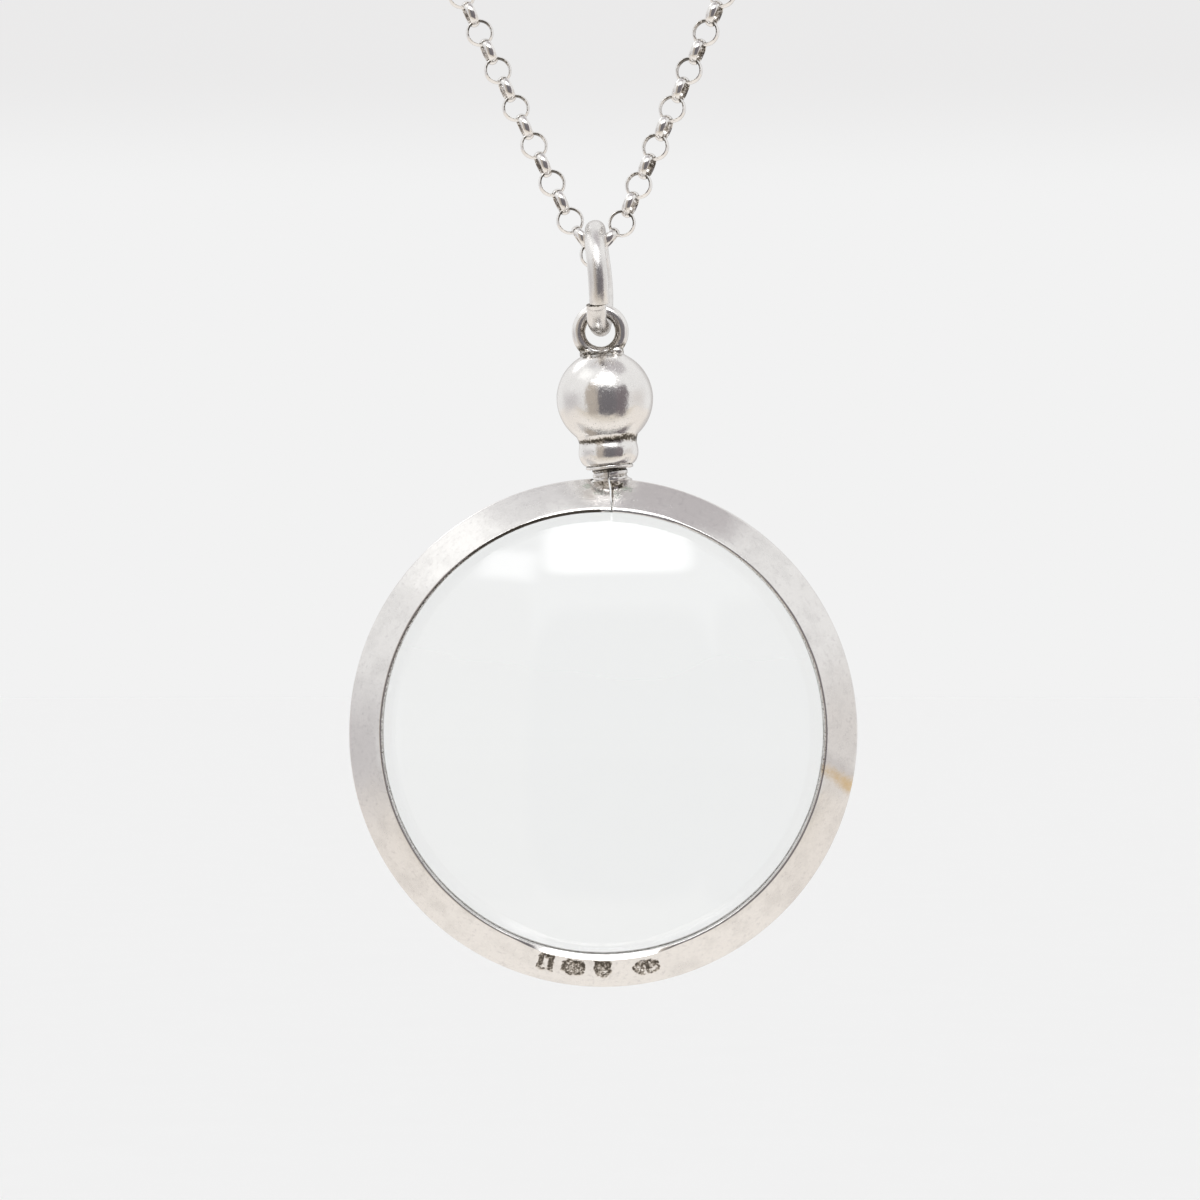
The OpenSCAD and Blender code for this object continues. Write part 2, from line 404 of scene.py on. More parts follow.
def silver(name, shine, scratch, cloud, pit, streak=(0.5, 7, 7), tint=(0.93, 0.915, 0.9), dents=0,
           speckle=0):
    """Worn silver: cloudy patches, fine scratches along the grain, and where it is marked, tarnish with
    some painted shadow and shade, a painted gold reflection, and painted shade beside that reflection.
    """
    material, n = new_material(name)
    grain = n.mark("grain", "Vector")
    streaks = n.noise(n.scaled(grain, streak), 1.0, 3.0, 0.65)
    fine_streaks = n.noise(n.scaled(grain, tuple(4 * part for part in streak)), 1.0, 2.0, 0.6)
    clouds = n.noise(grain, 0.55, 4.0, 0.6)
    pits = n.noise(grain, 6.0, 3.0, 0.7)
    flecks = n.noise(grain, 2.6, 5.0, 0.8)
    lumps = n.noise(grain, 1.3, 3.0, 0.5)

    rough = n.plus(shine, n.times(n.step(clouds, 0.4, 0.7), 0.1 * cloud))
    rough = n.plus(rough, n.times(n.step(streaks, 0.5, 0.75), 0.09 * scratch))
    rough = n.plus(rough, n.times(n.step(pits, 0.52, 0.68), 0.4 * pit))

    ragged = n.times(n.math("SUBTRACT", pits, 0.5), 1.3)
    dark = n.step(n.plus(n.mark("dark"), ragged), 0.3, 0.75)
    green = n.step(n.plus(n.mark("green"), ragged), 0.35, 0.8)
    soft_ragged = n.times(n.math("SUBTRACT", flecks, 0.5), 0.7)
    # Painted gold reflection, where the ring is marked for it
    gold_reflection = n.step(n.plus(n.mark("gold_reflection"), soft_ragged), 0.1, 0.8)
    dull = tuple(0.9 * part for part in tint) + (1,)
    colour = n.mix(n.step(clouds, 0.42, 0.72, 0.0, cloud), tint + (1,), dull)
    colour = n.mix(n.step(flecks, 0.5, 0.72, 0.0, speckle), colour, DUSK)
    # Painted shade, where the ring is marked for it
    colour = n.mix(n.times(n.mark("shade"), 0.45), colour, DUSK)
    colour = n.mix(n.times(gold_reflection, 0.85), colour, GOLD_REFLECTION)
    colour = n.mix(n.times(green, 0.6), colour, VERDIGRIS)
    # The dark mark is tarnish, and in places painted shadow and shade: brown, then near black
    colour = n.mix(n.step(dark, 0.0, 0.6, 0.0, 0.75), colour, BROWN)
    colour = n.mix(n.step(dark, 0.45, 1.0, 0.0, 0.9), colour, TARNISH_AND_SHADE)
    stained_and_shaded = n.math("MAXIMUM", dark, n.times(green, 0.8))
    rough = n.blend(stained_and_shaded, rough, STAINED_AND_SHADED_ROUGHNESS)

    height = n.times(n.plus(n.times(streaks, 0.55), n.times(fine_streaks, 0.3)), scratch)
    height = n.plus(height, n.times(pits, pit))
    height = n.plus(height, n.times(lumps, dents))
    bump = n.add("Bump", {"Strength": 1.0, "Distance": 0.00001, "Height": height})
    shader = n.add("BsdfPrincipled", {"Base Color": colour, "Metallic": 1.0, "Roughness": rough,
                                      "Normal": bump.outputs[0]})
    n.add("OutputMaterial", {0: shader.outputs[0]})
    return material


def clear_glass(name):
    """Old clear glass, almost flawless: the faintest waves and a few rubbed spots."""
    material, n = new_material(name)
    grain = n.mark("grain", "Vector")
    waves = n.noise(grain, 0.16, 1.0, 0.4)
    rubs = n.noise(n.scaled(grain, (1.2, 5, 1.2)), 1.0, 4.0, 0.7)
    bump = n.add("Bump", {"Strength": 0.35, "Distance": 0.00002, "Height": waves})
    shader = n.add("BsdfPrincipled", {"Base Color": (0.995, 1, 0.998, 1), "IOR": 1.47,
                                      "Roughness": n.step(rubs, 0.68, 0.85, 0.0, 0.03),
                                      "Transmission Weight": 1.0, "Normal": bump.outputs[0]})
    n.add("OutputMaterial", {0: shader.outputs[0]})
    return material


def pale_floor(name):
    """Matt off-white board with a hardly visible tooth."""
    material, n = new_material(name)
    tooth = n.noise(n.add("TexCoord", {}).outputs["Object"], 40.0, 4.0, 0.6)
    colour = n.mix(tooth, (0.93, 0.93, 0.925, 1), (0.95, 0.95, 0.945, 1))
    shader = n.add("BsdfPrincipled", {"Base Color": colour, "Roughness": 0.8})
    n.add("OutputMaterial", {0: shader.outputs[0]})
    return material


# Locket ring

# The stamps: angle from straight down in degrees, shift inwards, width, height, kind of outline
Stamp = namedtuple("Stamp", "angle inwards width height outline")
STAMPS = [Stamp(-14.2, 0.2, 1.22, 1.6, "bars"), Stamp(-7.2, 0.17, 1.7, 1.5, "cut"),
          Stamp(-0.2, 0.17, 1.25, 1.6, "shield"), Stamp(10.4, 0, 1.95, 1.5, "oval")]
STAMP_R = 16.84
STAMP_DEEP = 0.1
# Clock angles between which the ring has more columns, and how far round from the post it has them
STAMP_ZONE = (math.radians(162), math.radians(198))
POST_ZONE = math.radians(9)


def bevel_half(r):
    """Half depth of the ring at a radius on its bevel."""
    return EDGE_HALF + (FRAME_R - r) * math.tan(BEVEL)


def stroke(distance, half_width):
    """1 on a stroke and 0 beside it."""
    return 1 - smooth(half_width - 0.03, half_width + 0.05, np.abs(distance))


def stamp_depth(clock, r, stamp):
    """How deep a worn stamp is sunk at a place on the front bevel: 0 to 1."""
    along = (clock - math.pi + math.radians(stamp.angle)) * STAMP_R
    across = (r - STAMP_R) / math.cos(BEVEL) + stamp.inwards
    half_w, half_h = stamp.width / 2, stamp.height / 2
    x, y = np.abs(along), np.abs(across)
    if stamp.outline == "oval":
        edge = (1 - np.hypot(x / half_w, y / half_h)) * half_h
        strokes = np.maximum(stroke(along + 0.1, 0.1), stroke(along - 0.35 - 0.3 * across, 0.06))
        line, floor = 0.12, 0.3
    elif stamp.outline == "cut":
        edge = np.minimum(np.minimum(half_w - x, half_h - y), (half_w + half_h - 0.35 - x - y) * 0.7)
        strokes = 0.6 * stroke(np.hypot(along / 1.7, across - 0.1) - 0.24, 0.04)
        line, floor = 0.24, 0.45
    elif stamp.outline == "shield":
        side = half_w * (1 - 0.45 * smooth(0, half_h, across) ** 2)
        edge = np.minimum(side - x, half_h - y)
        strokes = 0.7 * stroke(x + y - 0.26, 0.05)
        line, floor = 0.29, 0.42
    else:
        edge = np.minimum(half_w - x, half_h - y)
        strokes = stroke(x - 0.42, 0.22)
        line, floor = 0.2, 0.1
    ragged = 0.05 * wobble(15, along + stamp.angle, across, 12, 16)
    inside = smooth(-0.03, 0.07, edge + ragged)
    outline = inside * (1 - smooth(line, line + 0.1, edge + ragged))
    rough = 0.22 * wobble(14, along + stamp.angle, across, 14, 22) * inside
    worn = 1 - 0.45 * smooth(-0.2 * half_h, 1.0 * half_h, across)
    return worn * np.clip(np.maximum(floor * inside, np.maximum(outline, inside * strokes)) + rough, 0, 1)


# The lip's section in three shapes, from the window's wall out to the bevel, as (r, half depth):
# a bead at the sides, a facet that faces out at the top and one that faces in at the bottom
LIP_SIDE = arc(15.775, 1.886, 0.155, 180, 50, 7)
LIP_TOP = arc(15.69, 1.945, 0.07, 180, 68, 4) + [(15.8, 2.003), (15.87, 1.977), (15.94, 1.95)]
LIP_LOW = arc(15.7, 1.604, 0.08, 180, 117, 4) + [(15.79, 1.739), (15.92, 1.806), (16.04, 1.866)]
LIP_TOP_REACH = (math.radians(16), math.radians(21))
LIP_LOW_REACH = (math.radians(12), math.radians(22))
BEVEL_STEPS = 27


def ring_turns():
    """Clock angles of the ring's columns, closer together under the stamps and round the post."""
    stops = [0, POST_ZONE, *STAMP_ZONE, 2 * math.pi - POST_ZONE, 2 * math.pi]
    counts = [30, 130, 210, 130, 30]
    return np.concatenate([np.linspace(start, end, count, endpoint=False)
                           for start, end, count in zip(stops, stops[1:], counts)])


def front_section(turns):
    """Front half of the section at each clock angle, as rows of r and half depth, and the lip's row."""
    groove = [(GROOVE_R, 0), (GROOVE_R, GROOVE_HALF - 0.06), (GROOVE_R - 0.06, GROOVE_HALF),
              (WINDOW_R + 0.3, GROOVE_HALF), (WINDOW_R + 0.06, GROOVE_HALF),
              (WINDOW_R, GROOVE_HALF + 0.06), (WINDOW_R, GROOVE_HALF + 0.25)]
    from_top = np.minimum(turns, 2 * math.pi - turns)
    top = 1 - smooth(*LIP_TOP_REACH, from_top)
    low = 1 - smooth(*LIP_LOW_REACH, np.abs(turns - math.radians(181.5)))
    shapes = [np.array(groove + lip)[:, :, None] for lip in (LIP_SIDE, LIP_TOP, LIP_LOW)]
    inner = shapes[0] * (1 - top - low) + shapes[1] * top + shapes[2] * low
    share = np.linspace(0, 1, BEVEL_STEPS)[1:, None]
    start = inner[-1, 0]
    crown = 0.03 * np.sin(np.pi * share)
    bevel_r = start + (FRAME_R - 0.1 - start) * share
    bevel = np.stack([bevel_r + crown * math.sin(BEVEL), bevel_half(bevel_r) + crown * math.cos(BEVEL)],
                     axis=1)
    edge = np.array([(FRAME_R - 0.04, EDGE_HALF + 0.02), (FRAME_R - 0.01, EDGE_HALF - 0.05),
                     (FRAME_R, EDGE_HALF - 0.12)])[:, :, None] + 0 * bevel[:3]
    return np.concatenate([inner, bevel, edge]), len(inner) - len(LIP_SIDE)


def ring_grid_points():
    """The locket ring as a closed grid: its section turned about Y, with waves and stamps."""
    turns = ring_turns()
    front, lip_row = front_section(turns)
    back = front[:0:-1] * np.array([1, -1])[:, None]
    section = np.concatenate([front, back])
    r, half = section[:, 0], section[:, 1]
    rows = np.arange(len(front))
    rows = np.concatenate([rows, rows[:0:-1]])[:, None]
    clock = np.repeat(turns[None, :], len(section), 0)

    side = np.sign(half)
    bevel_row = lip_row + len(LIP_SIDE)
    face = smooth(bevel_row - 1, bevel_row + 2, rows) * (1 - smooth(FRAME_R - 0.25, FRAME_R, r))
    lip = (rows >= lip_row) * (1 - face) * (r < FRAME_R - 1)
    length = clock * STAMP_R
    round_again = np.minimum(clock, 2 * math.pi - clock) / math.radians(10)
    seam = smooth(0, 1, round_again)
    sink = face * seam * (0.011 * wobble(11, length, r * 0.8 + 9 * side, 9, 0.75)
                          + 0.004 * wobble(12, length, r * 2 + 5 * side, 9, 2.6))
    near = (side > 0) & (face > 0.01)
    for stamp in STAMPS:
        sink = sink + near * STAMP_DEEP * stamp_depth(clock, r, stamp)
    sink = sink + 0.007 * lip * seam * (1 + wobble(13, length, 7 * side + 0 * r, 12, 3))
    r = r - sink * math.sin(BEVEL)
    half = half - side * sink * math.cos(BEVEL)
    return np.stack([r * np.sin(clock), -half, r * np.cos(clock)], axis=2)


def threaded_post():
    """The worn screw post as a closed grid along the knob's axis."""
    pitch, rows_a_turn, sides, depth = 0.42, 10, 72, 0.075
    count = int((POST_TOP - POST_FOOT) / pitch * rows_a_turn)
    z = np.linspace(POST_FOOT, POST_TOP, count)[:, None]
    turns = full_turn(sides)
    ragged = 0.11 * wobble(23, z * 3, turns * 2, 6, 3)
    phase = (z / pitch - turns / (2 * math.pi) + ragged) % 1
    groove = depth * smooth(0.35, 0.75, np.abs(phase - 0.5) * 2)
    worn = 0.022 * wobble(21, z * 3, turns * 1.6, 6, 3)
    r = POST_R - groove - np.abs(worn)
    r[-3:] *= np.array([[0.985], [0.96], [0.92]])
    taper = spin([(0.8, -6.6), (1.05, -6.25)], sides)
    return np.concatenate([taper, turn_points(r, z, turns)])


def solder_foot():
    """Solder that flares from the post on to the ring's outer edge, a little uneven."""
    profile = [(0.7, -6.6), (1.15, -6.25), (1.45, -5.95), (1.52, -5.84), (1.44, -5.76), (1.3, -5.7),
               (1.2, -5.62), (1.1, -5.5), (0.6, -5.45)]
    grid = spin(profile, 56)
    turns = full_turn(56)
    uneven = 1 + 0.05 * wobble(22, 3 * np.cos(turns), 3 * np.sin(turns) + grid[:, :, 2], 6, 1.6)
    grid[:, :, 0] *= uneven
    grid[:, :, 1] *= uneven * 0.72
    return grid


KNOB_TO_LOCKET = np.linalg.inv(LOCKET_FRAME) @ KNOB_FRAME
LOCKET_TO_KNOB = np.linalg.inv(KNOB_TO_LOCKET)


def slit_middle(heights):
    """How far the slit's middle is from the knob's axis at each height."""
    middle = 0.045 * wobble(24, heights, 0, 5, 5) - 0.1 * smooth(-5, -6, heights)
    return middle + 0.12 * smooth(-7, -7.6, heights)


def slit_sheet():
    """The sawn slit as a thin wavy sheet across the post and ring: one row of points a height."""
    heights = np.linspace(-10.5, POST_TOP + 1, 110)
    # It is turned a little in the post and towards the lip, where no light comes through it.
    turned = 0.05 * smooth(-6.1, -5.5, heights) + 0.045 * smooth(-7.0, -7.6, heights)
    half = SLIT_W / 2 * (0.6 + 0.4 * smooth(-5.4, -6, heights))
    depths = np.linspace(-3, 3, 13)
    sides = np.concatenate([0 * depths - 1, 0 * depths + 1])
    depths = np.concatenate([depths, depths[::-1]])
    x = slit_middle(heights)[:, None] + half[:, None] * sides + turned[:, None] * depths
    return np.stack([x, 0 * x + depths, 0 * x + heights[:, None]], axis=2)


def locket_ring():
    """The slit spring ring with its post, fused into one body."""
    ring = grid_piece("locket_ring", ring_grid_points(), close_rows=True)
    post = grid_piece("post", moved(threaded_post(), KNOB_TO_LOCKET), caps=True)
    foot = grid_piece("foot", moved(solder_foot(), KNOB_TO_LOCKET), caps=True)
    combine(ring, "UNION", post, foot)

    slit = grid_piece("slit", moved(slit_sheet(), KNOB_TO_LOCKET), caps=True)
    slit_x = moved(np.array([0, 0, -8.0]), KNOB_TO_LOCKET)[0]
    notch = block("notch", (slit_x - NOTCH_W, -GROOVE_HALF - 3, WINDOW_R - 0.3),
                  (slit_x + 0.02, -GROOVE_HALF + 0.2, WINDOW_R + NOTCH_DEEP))
    combine(ring, "DIFFERENCE", slit, notch)
    mark_ring(ring)
    finish_piece(ring, LOCKET_FRAME, "locket", "frame", FRAME_SILVER)


# Tarnish and painted shade along the lip's inner edge: clock angle in degrees, strength and how far out
# it reaches
LIP_TARNISH_AND_SHADE = np.array([(0, 0.1, 15.8), (18, 0.15, 15.8), (28, 0.35, 15.8), (90, 0.42, 15.8),
                        (115, 0.3, 15.8), (140, 0.05, 15.8), (205, 0, 15.8), (225, 0.3, 15.8),
                        (270, 0.42, 15.8), (320, 0.6, 15.8), (336, 0.95, 15.86), (359, 0.95, 15.86),
                        (360, 0.1, 15.8)])
# Dark and green places round the post's foot on the ring, the dark ones tarnish and painted shadow under
# the post: x, z, half width, half height, strength, tilt in degrees
Spot = namedtuple("Spot", "x z half_width half_height strength tilt")
DARK_SPOTS = [Spot(0.6, 17.66, 1.5, 0.26, 0.6, -3), Spot(1.05, 17.5, 0.7, 0.25, 0.62, -8),
              Spot(0.66, 16.75, 0.13, 1.0, 0.6, 0), Spot(0.1, 17.35, 0.5, 0.2, 0.42, 0)]
GREEN_SPOTS = [Spot(-1.15, 17.5, 0.5, 0.3, 0.62, 8), Spot(1.6, 17.3, 0.8, 0.3, 0.62, -10),
               Spot(0.95, 16.9, 0.4, 0.5, 0.55, 0), Spot(-0.3, 17.05, 0.6, 0.4, 0.5, 0)]


def spot_mask(points, spots):
    """How strongly a table of soft spots covers each point, seen along Y."""
    total = np.zeros(len(points))
    for spot in spots:
        turn = math.radians(spot.tilt)
        x, z = points[:, 0] - spot.x, points[:, 2] - spot.z
        along = x * math.cos(turn) + z * math.sin(turn)
        across = z * math.cos(turn) - x * math.sin(turn)
        reach = np.hypot(along / spot.half_width, across / spot.half_height)
        total = np.maximum(total, spot.strength * (1 - smooth(0.35, 1.3, reach)))
    return total


def mark_ring(ring):
    """Grain round the ring, tarnish in the stamps and groove, tarnish and painted shade along the lip, a
    darker thread, tarnish and painted shadow round the post's foot and under the knob's collar, and a
    painted gold reflection with painted shade beside it.
    """
    points = points_of(ring)
    x, y, z = points.T
    r, turn = np.hypot(x, z), np.arctan2(x, z)
    knob_x, _, knob_z = moved(points, LOCKET_TO_KNOB).T
    # The grain starts and ends at the slit, so that no face straddles its seam.
    left = np.where(np.abs(turn) < math.radians(8), knob_x < slit_middle(knob_z), turn < 0)
    mark(ring, "grain", np.stack([(turn + 2 * math.pi * left) * STAMP_R, r, y], axis=1))
    clock = turn % (2 * math.pi)
    front = y < 0

    groove = 0.55 * (1 - smooth(GROOVE_HALF, GROOVE_HALF + 0.1, np.abs(y))) * (r < GROOVE_R + 0.05)
    lip, reach = [np.interp(np.degrees(clock), LIP_TARNISH_AND_SHADE[:, 0], LIP_TARNISH_AND_SHADE[:, k]) for k in (1, 2)]
    lip = lip * smooth(reach, reach - 0.07, r) * (np.abs(y) > GROOVE_HALF + 0.1)
    depths = [stamp_depth(clock, r, stamp) for stamp in STAMPS]
    stamps = [front * (0.46 * smooth(0, 0.2, depth) + 0.22 * depth) for depth in depths]
    on_post = (r > FRAME_R + 0.02) & (np.abs(x) < 3)
    thread = 0.5 * on_post * smooth(POST_R - 0.03, POST_R - 0.09, np.hypot(knob_x, y))
    # Painted shadow and tarnish on the post just under the knob's collar
    under_collar = 0.85 * on_post * smooth(COLLAR_BASE - 0.26, COLLAR_BASE - 0.08, knob_z)
    # Tarnish and painted shadow round the post's foot
    spots = spot_mask(points, DARK_SPOTS)
    mark(ring, "dark", np.max([groove, lip, spots, thread, under_collar, *stamps], axis=0))
    mark(ring, "green", spot_mask(points, GREEN_SPOTS))
    width = smooth(WINDOW_R, FRAME_R, r)
    # A painted gold reflection across the front face, with painted shade beside it
    from_gold_reflection = np.degrees(clock) - (99.2 + 2.9 * width)
    on_face = front * (r < FRAME_R + 0.02)
    mark(ring, "gold_reflection", on_face * hill(from_gold_reflection, 0, 2.1) * (0.48 + 0.25 * width))
    # Painted shade beside the painted gold reflection
    mark(ring, "shade", on_face * hill(from_gold_reflection, -2.4, 1.6))


# Glasses

def glass_profile():
    """Section of a glass as (r, height over the middle plane): outer dome, rim, flat and inner dome."""
    middle = RIM_TOP - math.sqrt(DOME_R ** 2 - (WINDOW_R - 0.15) ** 2)
    inner_middle = middle + DOME_R - GLASS_T - INNER_DOME_R
    outer_angle = math.degrees(math.acos((RIM_R - 0.04) / DOME_R))
    inner_angle = math.degrees(math.asin((RIM_GAP - inner_middle) / INNER_DOME_R))
    outer = arc(0, middle, DOME_R, 90, outer_angle, 60)
    rim_low = [(RIM_R, RIM_GAP + 0.46), (RIM_R, RIM_GAP + 0.04), (RIM_R - 0.04, RIM_GAP)]
    inner = arc(0, inner_middle, INNER_DOME_R, inner_angle, 90, 56)
    return outer + rim_low + inner


def lens(name, node, side):
    """One domed glass: side is 1 at the front and -1 at the back."""
    piece = grid_piece(name, spin(glass_profile(), 192)[:, :, [0, 2, 1]] * (1, -side, side))
    # The two glasses lie in different places of the noise, so that their waves differ.
    mark(piece, "grain", points_of(piece) + 40 * side)
    finish_piece(piece, LOCKET_FRAME, "locket", node, CLEAR_GLASS, sharp=40)


# Knob

def knob_profile():
    """Section of ball, collar and bore as (r, z), from the bore's top round to the ball's top."""
    bore = [(0, BORE_TOP), (BORE_R, BORE_TOP), (BORE_R, -3), (BORE_R, COLLAR_BASE + 0.1),
            (BORE_R + 0.06, COLLAR_BASE), (1.5, COLLAR_BASE)]
    rim = arc(1.56, COLLAR_BASE + 0.13, 0.13, -90, 70, 7) + [(1.63, -4.74)]
    barrel = [(1.74, -4.69), (1.83, -4.6), (1.93, -4.47), (2.01, -4.3), (2.07, -4.12), (2.1, -3.95),
              (2.11, -3.82), (2.105, -3.7), (2.09, -3.56), (2.07, -3.42), (2.05, -3.28), (2.04, -3.16)]
    fillet = [(2.045, -3.06), (2.06, -2.97), (2.09, -2.88), (2.13, -2.78), (2.17, -2.69)]
    ball = arc(0, 0, BALL_R, math.degrees(math.asin(-2.6 / BALL_R)), 90, 84)
    return bore + rim + barrel + fillet + ball


def knob_body():
    """Ball, collar and bore as a closed grid, with the small dents of a hand-made piece."""
    grid = spin(knob_profile(), 160)
    x, y, z = grid[:, :, 0], grid[:, :, 1], grid[:, :, 2]
    from_axis = np.hypot(x, y)
    outside = from_axis > BORE_R + 0.15
    ball = outside & (z > -2.62)
    collar = outside & ~ball
    push = ball * (0.01 * wobble(31, x + 0.6 * y, z - 0.7 * y, 8, 1.3)
                   + 0.0025 * wobble(34, x + 0.5 * y, z - 0.6 * y, 16, 6))
    push = push + collar * (0.022 * wobble(32, x * 1.2 + y, z * 1.6 - y, 7, 2.6)
                            + 0.008 * wobble(35, x + 0.7 * y, z - 0.5 * y, 12, 8))
    length = np.maximum(np.hypot(from_axis, z), 1e-6)
    grid = grid * (1 + push / length)[:, :, None]
    from_axis = np.maximum(from_axis, 1e-6)
    waist = (0.07 * hill(z, -3.12, 0.3) + 0.04 * hill(z, -4.5, 0.25)) * outside * (y / from_axis) ** 2
    grid[:, :, :2] *= (1 - waist / from_axis)[:, :, None]
    grid[:, :, 2] += 0.03 * wobble(36, 1.5 * x, 1.5 * y, 6, 1.5) * (1 - smooth(-5, -4.3, z)) * outside
    return grid


def knob_loop():
    """The upright wire loop, its inner faces drawn with shallow rings."""
    turns, around = full_turn(96), full_turn(40)
    grid = ring_grid(LOOP_R, LOOP_WIRE_R, turns, 40)
    lines = 0.014 * smooth(0.1, 0.8, -np.cos(around)) * np.sin(9 * around) ** 2
    flat = 0.02 * wobble(33, 2 * np.cos(turns)[:, None], np.sin(around) * 0.8, 6, 1.6)
    centre = ring_grid(LOOP_R, 0, turns, 1)
    shrink = 1 - (lines + np.abs(flat)) / LOOP_WIRE_R
    grid = centre + (grid - centre) * shrink[:, :, None]
    return grid[:, :, [0, 2, 1]] + (0, 0, LOOP_UP)


# Solder under the loop: middle and half sizes of each lump
SOLDER_LUMPS = [((0, 0, 2.5), (1.7, 1.1, 0.98)), ((-1.0, -0.08, 3.22), (0.56, 0.5, 0.62)),
                ((1.02, -0.06, 3.2), (0.56, 0.5, 0.6)), ((0.85, 0.25, 3.3), (0.46, 0.4, 0.45)),
                ((-0.8, 0.25, 3.3), (0.46, 0.42, 0.42)), ((0.12, -0.2, 3.2), (0.8, 0.42, 0.4)),
                ((-0.5, -0.3, 3.15), (0.42, 0.34, 0.3)), ((0.62, -0.32, 3.15), (0.4, 0.32, 0.3))]


def ball_knob():
    """The ball-topped knob with its collar and loop, fused into one body."""
    knob = grid_piece("ball_knob", knob_body())
    tools = [grid_piece("loop", knob_loop(), close_rows=True)]
    for index, (middle, radii) in enumerate(SOLDER_LUMPS):
        tools.append(grid_piece("lump%d" % index, ball_grid(middle, radii, 60 + index)))
    combine(knob, "UNION", *tools)
    mark_knob(knob)
    finish_piece(knob, KNOB_FRAME, "knob", "knob", KNOB_SILVER)


def mark_knob(knob):
    """Grain round the knob, and tarnish in its crease, under the loop and inside it."""
    points = points_of(knob)
    x, y, z = points.T
    r = np.hypot(x, y)
    from_loop = np.hypot(x, z - LOOP_UP)
    on_loop = z > 3.75
    loop_turn = np.arctan2(x, z - LOOP_UP)
    loop_grain = np.stack([0.4 * LOOP_R * loop_turn, 3 * from_loop, 3 * y], axis=1)
    mark(knob, "grain", np.where(on_loop[:, None], loop_grain, points))
    waver = 0.05 * wobble(37, 2 * x, 2 * y, 6, 2)
    crease = 0.72 * hill(z + waver - 0.02 * x, -2.97, 0.27 + 0.03 * x) * (r > 1.5)
    inner = smooth(LOOP_R + 0.35, LOOP_R - 0.35, from_loop) * 0.56 * on_loop
    patchy = 0.14 * wobble(38, 3 * x, 3 * y + 2 * z, 8, 2)
    joint = (0.5 + patchy) * smooth(2.9, 3.15, z) * smooth(4.1, 3.7, z) * (r < 2.1)
    specks = 0.2 * smooth(-2.9, -3.4, z) * smooth(-4.8, -4.3, z) * (r > 1.5)
    rim = 0.75 * hill(z, -4.78, 0.05) * (r > 1.6)
    bore = 0.8 * (r < BORE_R + 0.05) * (z < BORE_TOP + 0.1)
    mark(knob, "dark", np.max([crease, inner, joint, specks, rim, bore], axis=0))
    mark(knob, "green", np.maximum(0.9 * crease, 0.9 * joint))


# Bail

def bail_ring():
    """The round jump ring, cut through at the front where its two ends meet a little off line."""
    turns = full_turn(180)
    # Turn 0 points to the front and a quarter turn to the top.
    grid = ring_grid(BAIL_R, BAIL_WIRE_R, turns, 44)[:, :, [2, 0, 1]] * (BAIL_WIDER, -1, 1)
    dent = 0.007 * wobble(41, 2.2 * turns[:, None], 2 * grid[:, :, 0], 8, 2.5)
    bail = grid_piece("bail_ring", grid * (1 + dent / BAIL_R)[:, :, None], close_rows=True)

    tilt = math.radians(16)
    cut_plane = axes((1, 0, 0), (0, math.cos(tilt), math.sin(tilt)), (0, -math.sin(tilt), math.cos(tilt)),
                     (0, -BAIL_R, -BAIL_CUT_DOWN))
    combine(bail, "DIFFERENCE", block("cut", (-2, -2, -0.03), (2, 2.2, 0.03), cut_plane))

    points = points_of(bail)
    x, y, z = points.T
    turn = np.arctan2(z, -y)
    cut_turn = -math.asin(BAIL_CUT_DOWN / BAIL_R)
    from_cut = moved(points, np.linalg.inv(cut_plane))[:, 2]
    fade = (from_cut < 0) * (y < 0) * smooth(-2.2, 0, from_cut)
    shifted = points + fade[:, None] * BAIL_END_SHIFT
    round_cut = np.degrees(turn - cut_turn) % 360
    # The face of the lower end lies on both sides of the turn at which the count starts anew.
    round_cut = np.where((from_cut < 0) & (y < 0) & (round_cut < 20), 360, round_cut)
    round_cut = np.where((from_cut > 0) & (y < 0) & (round_cut > 340), 0, round_cut)
    for (start, stray), (end, next_stray) in zip(BAIL_STRAY, BAIL_STRAY[1:]):
        here = (round_cut >= start) & ((round_cut < end) | (end == 360))
        shifted[:, 0] += here * (stray + (next_stray - stray) * smooth(start, end, round_cut))
    bail.data.vertices.foreach_set("co", shifted.ravel())

    out = np.hypot(y, z) - BAIL_R
    mark(bail, "grain", np.stack([(turn - cut_turn) % (2 * math.pi) * BAIL_R, x, out], axis=1))
    at_cut = 0.95 * hill(from_cut, 0, 0.045) * (y < 0)
    low = 0.4 * hill(z, -4.1, 0.3)
    worn_top = 0.25 * hill(turn, -math.pi / 2, 0.5) * (out < 0)
    mark(bail, "dark", np.max([at_cut, low, worn_top], axis=0))
    yaw_cos, yaw_sin = math.cos(BAIL_YAW), math.sin(BAIL_YAW)
    lean_cos, lean_sin = math.cos(BAIL_LEAN), math.sin(BAIL_LEAN)
    turned = axes((yaw_cos, -yaw_sin, 0), (yaw_sin, yaw_cos, 0), (0, 0, 1), BAIL_AT + BAIL_SHIFT)
    leaned = axes((lean_cos, 0, lean_sin), (0, 1, 0), (-lean_sin, 0, lean_cos), (0, 0, 0))
    finish_piece(bail, turned @ leaned, "bail", "bail", BAIL_SILVER)


# Chain

def unit(vector):
    """The vector of length 1 in the same direction."""
    return vector / np.linalg.norm(vector)


def lean(side, angle):
    """Direction of a strand that leans outwards on one side."""
    return np.array([side * math.sin(angle), 0, math.cos(angle)])


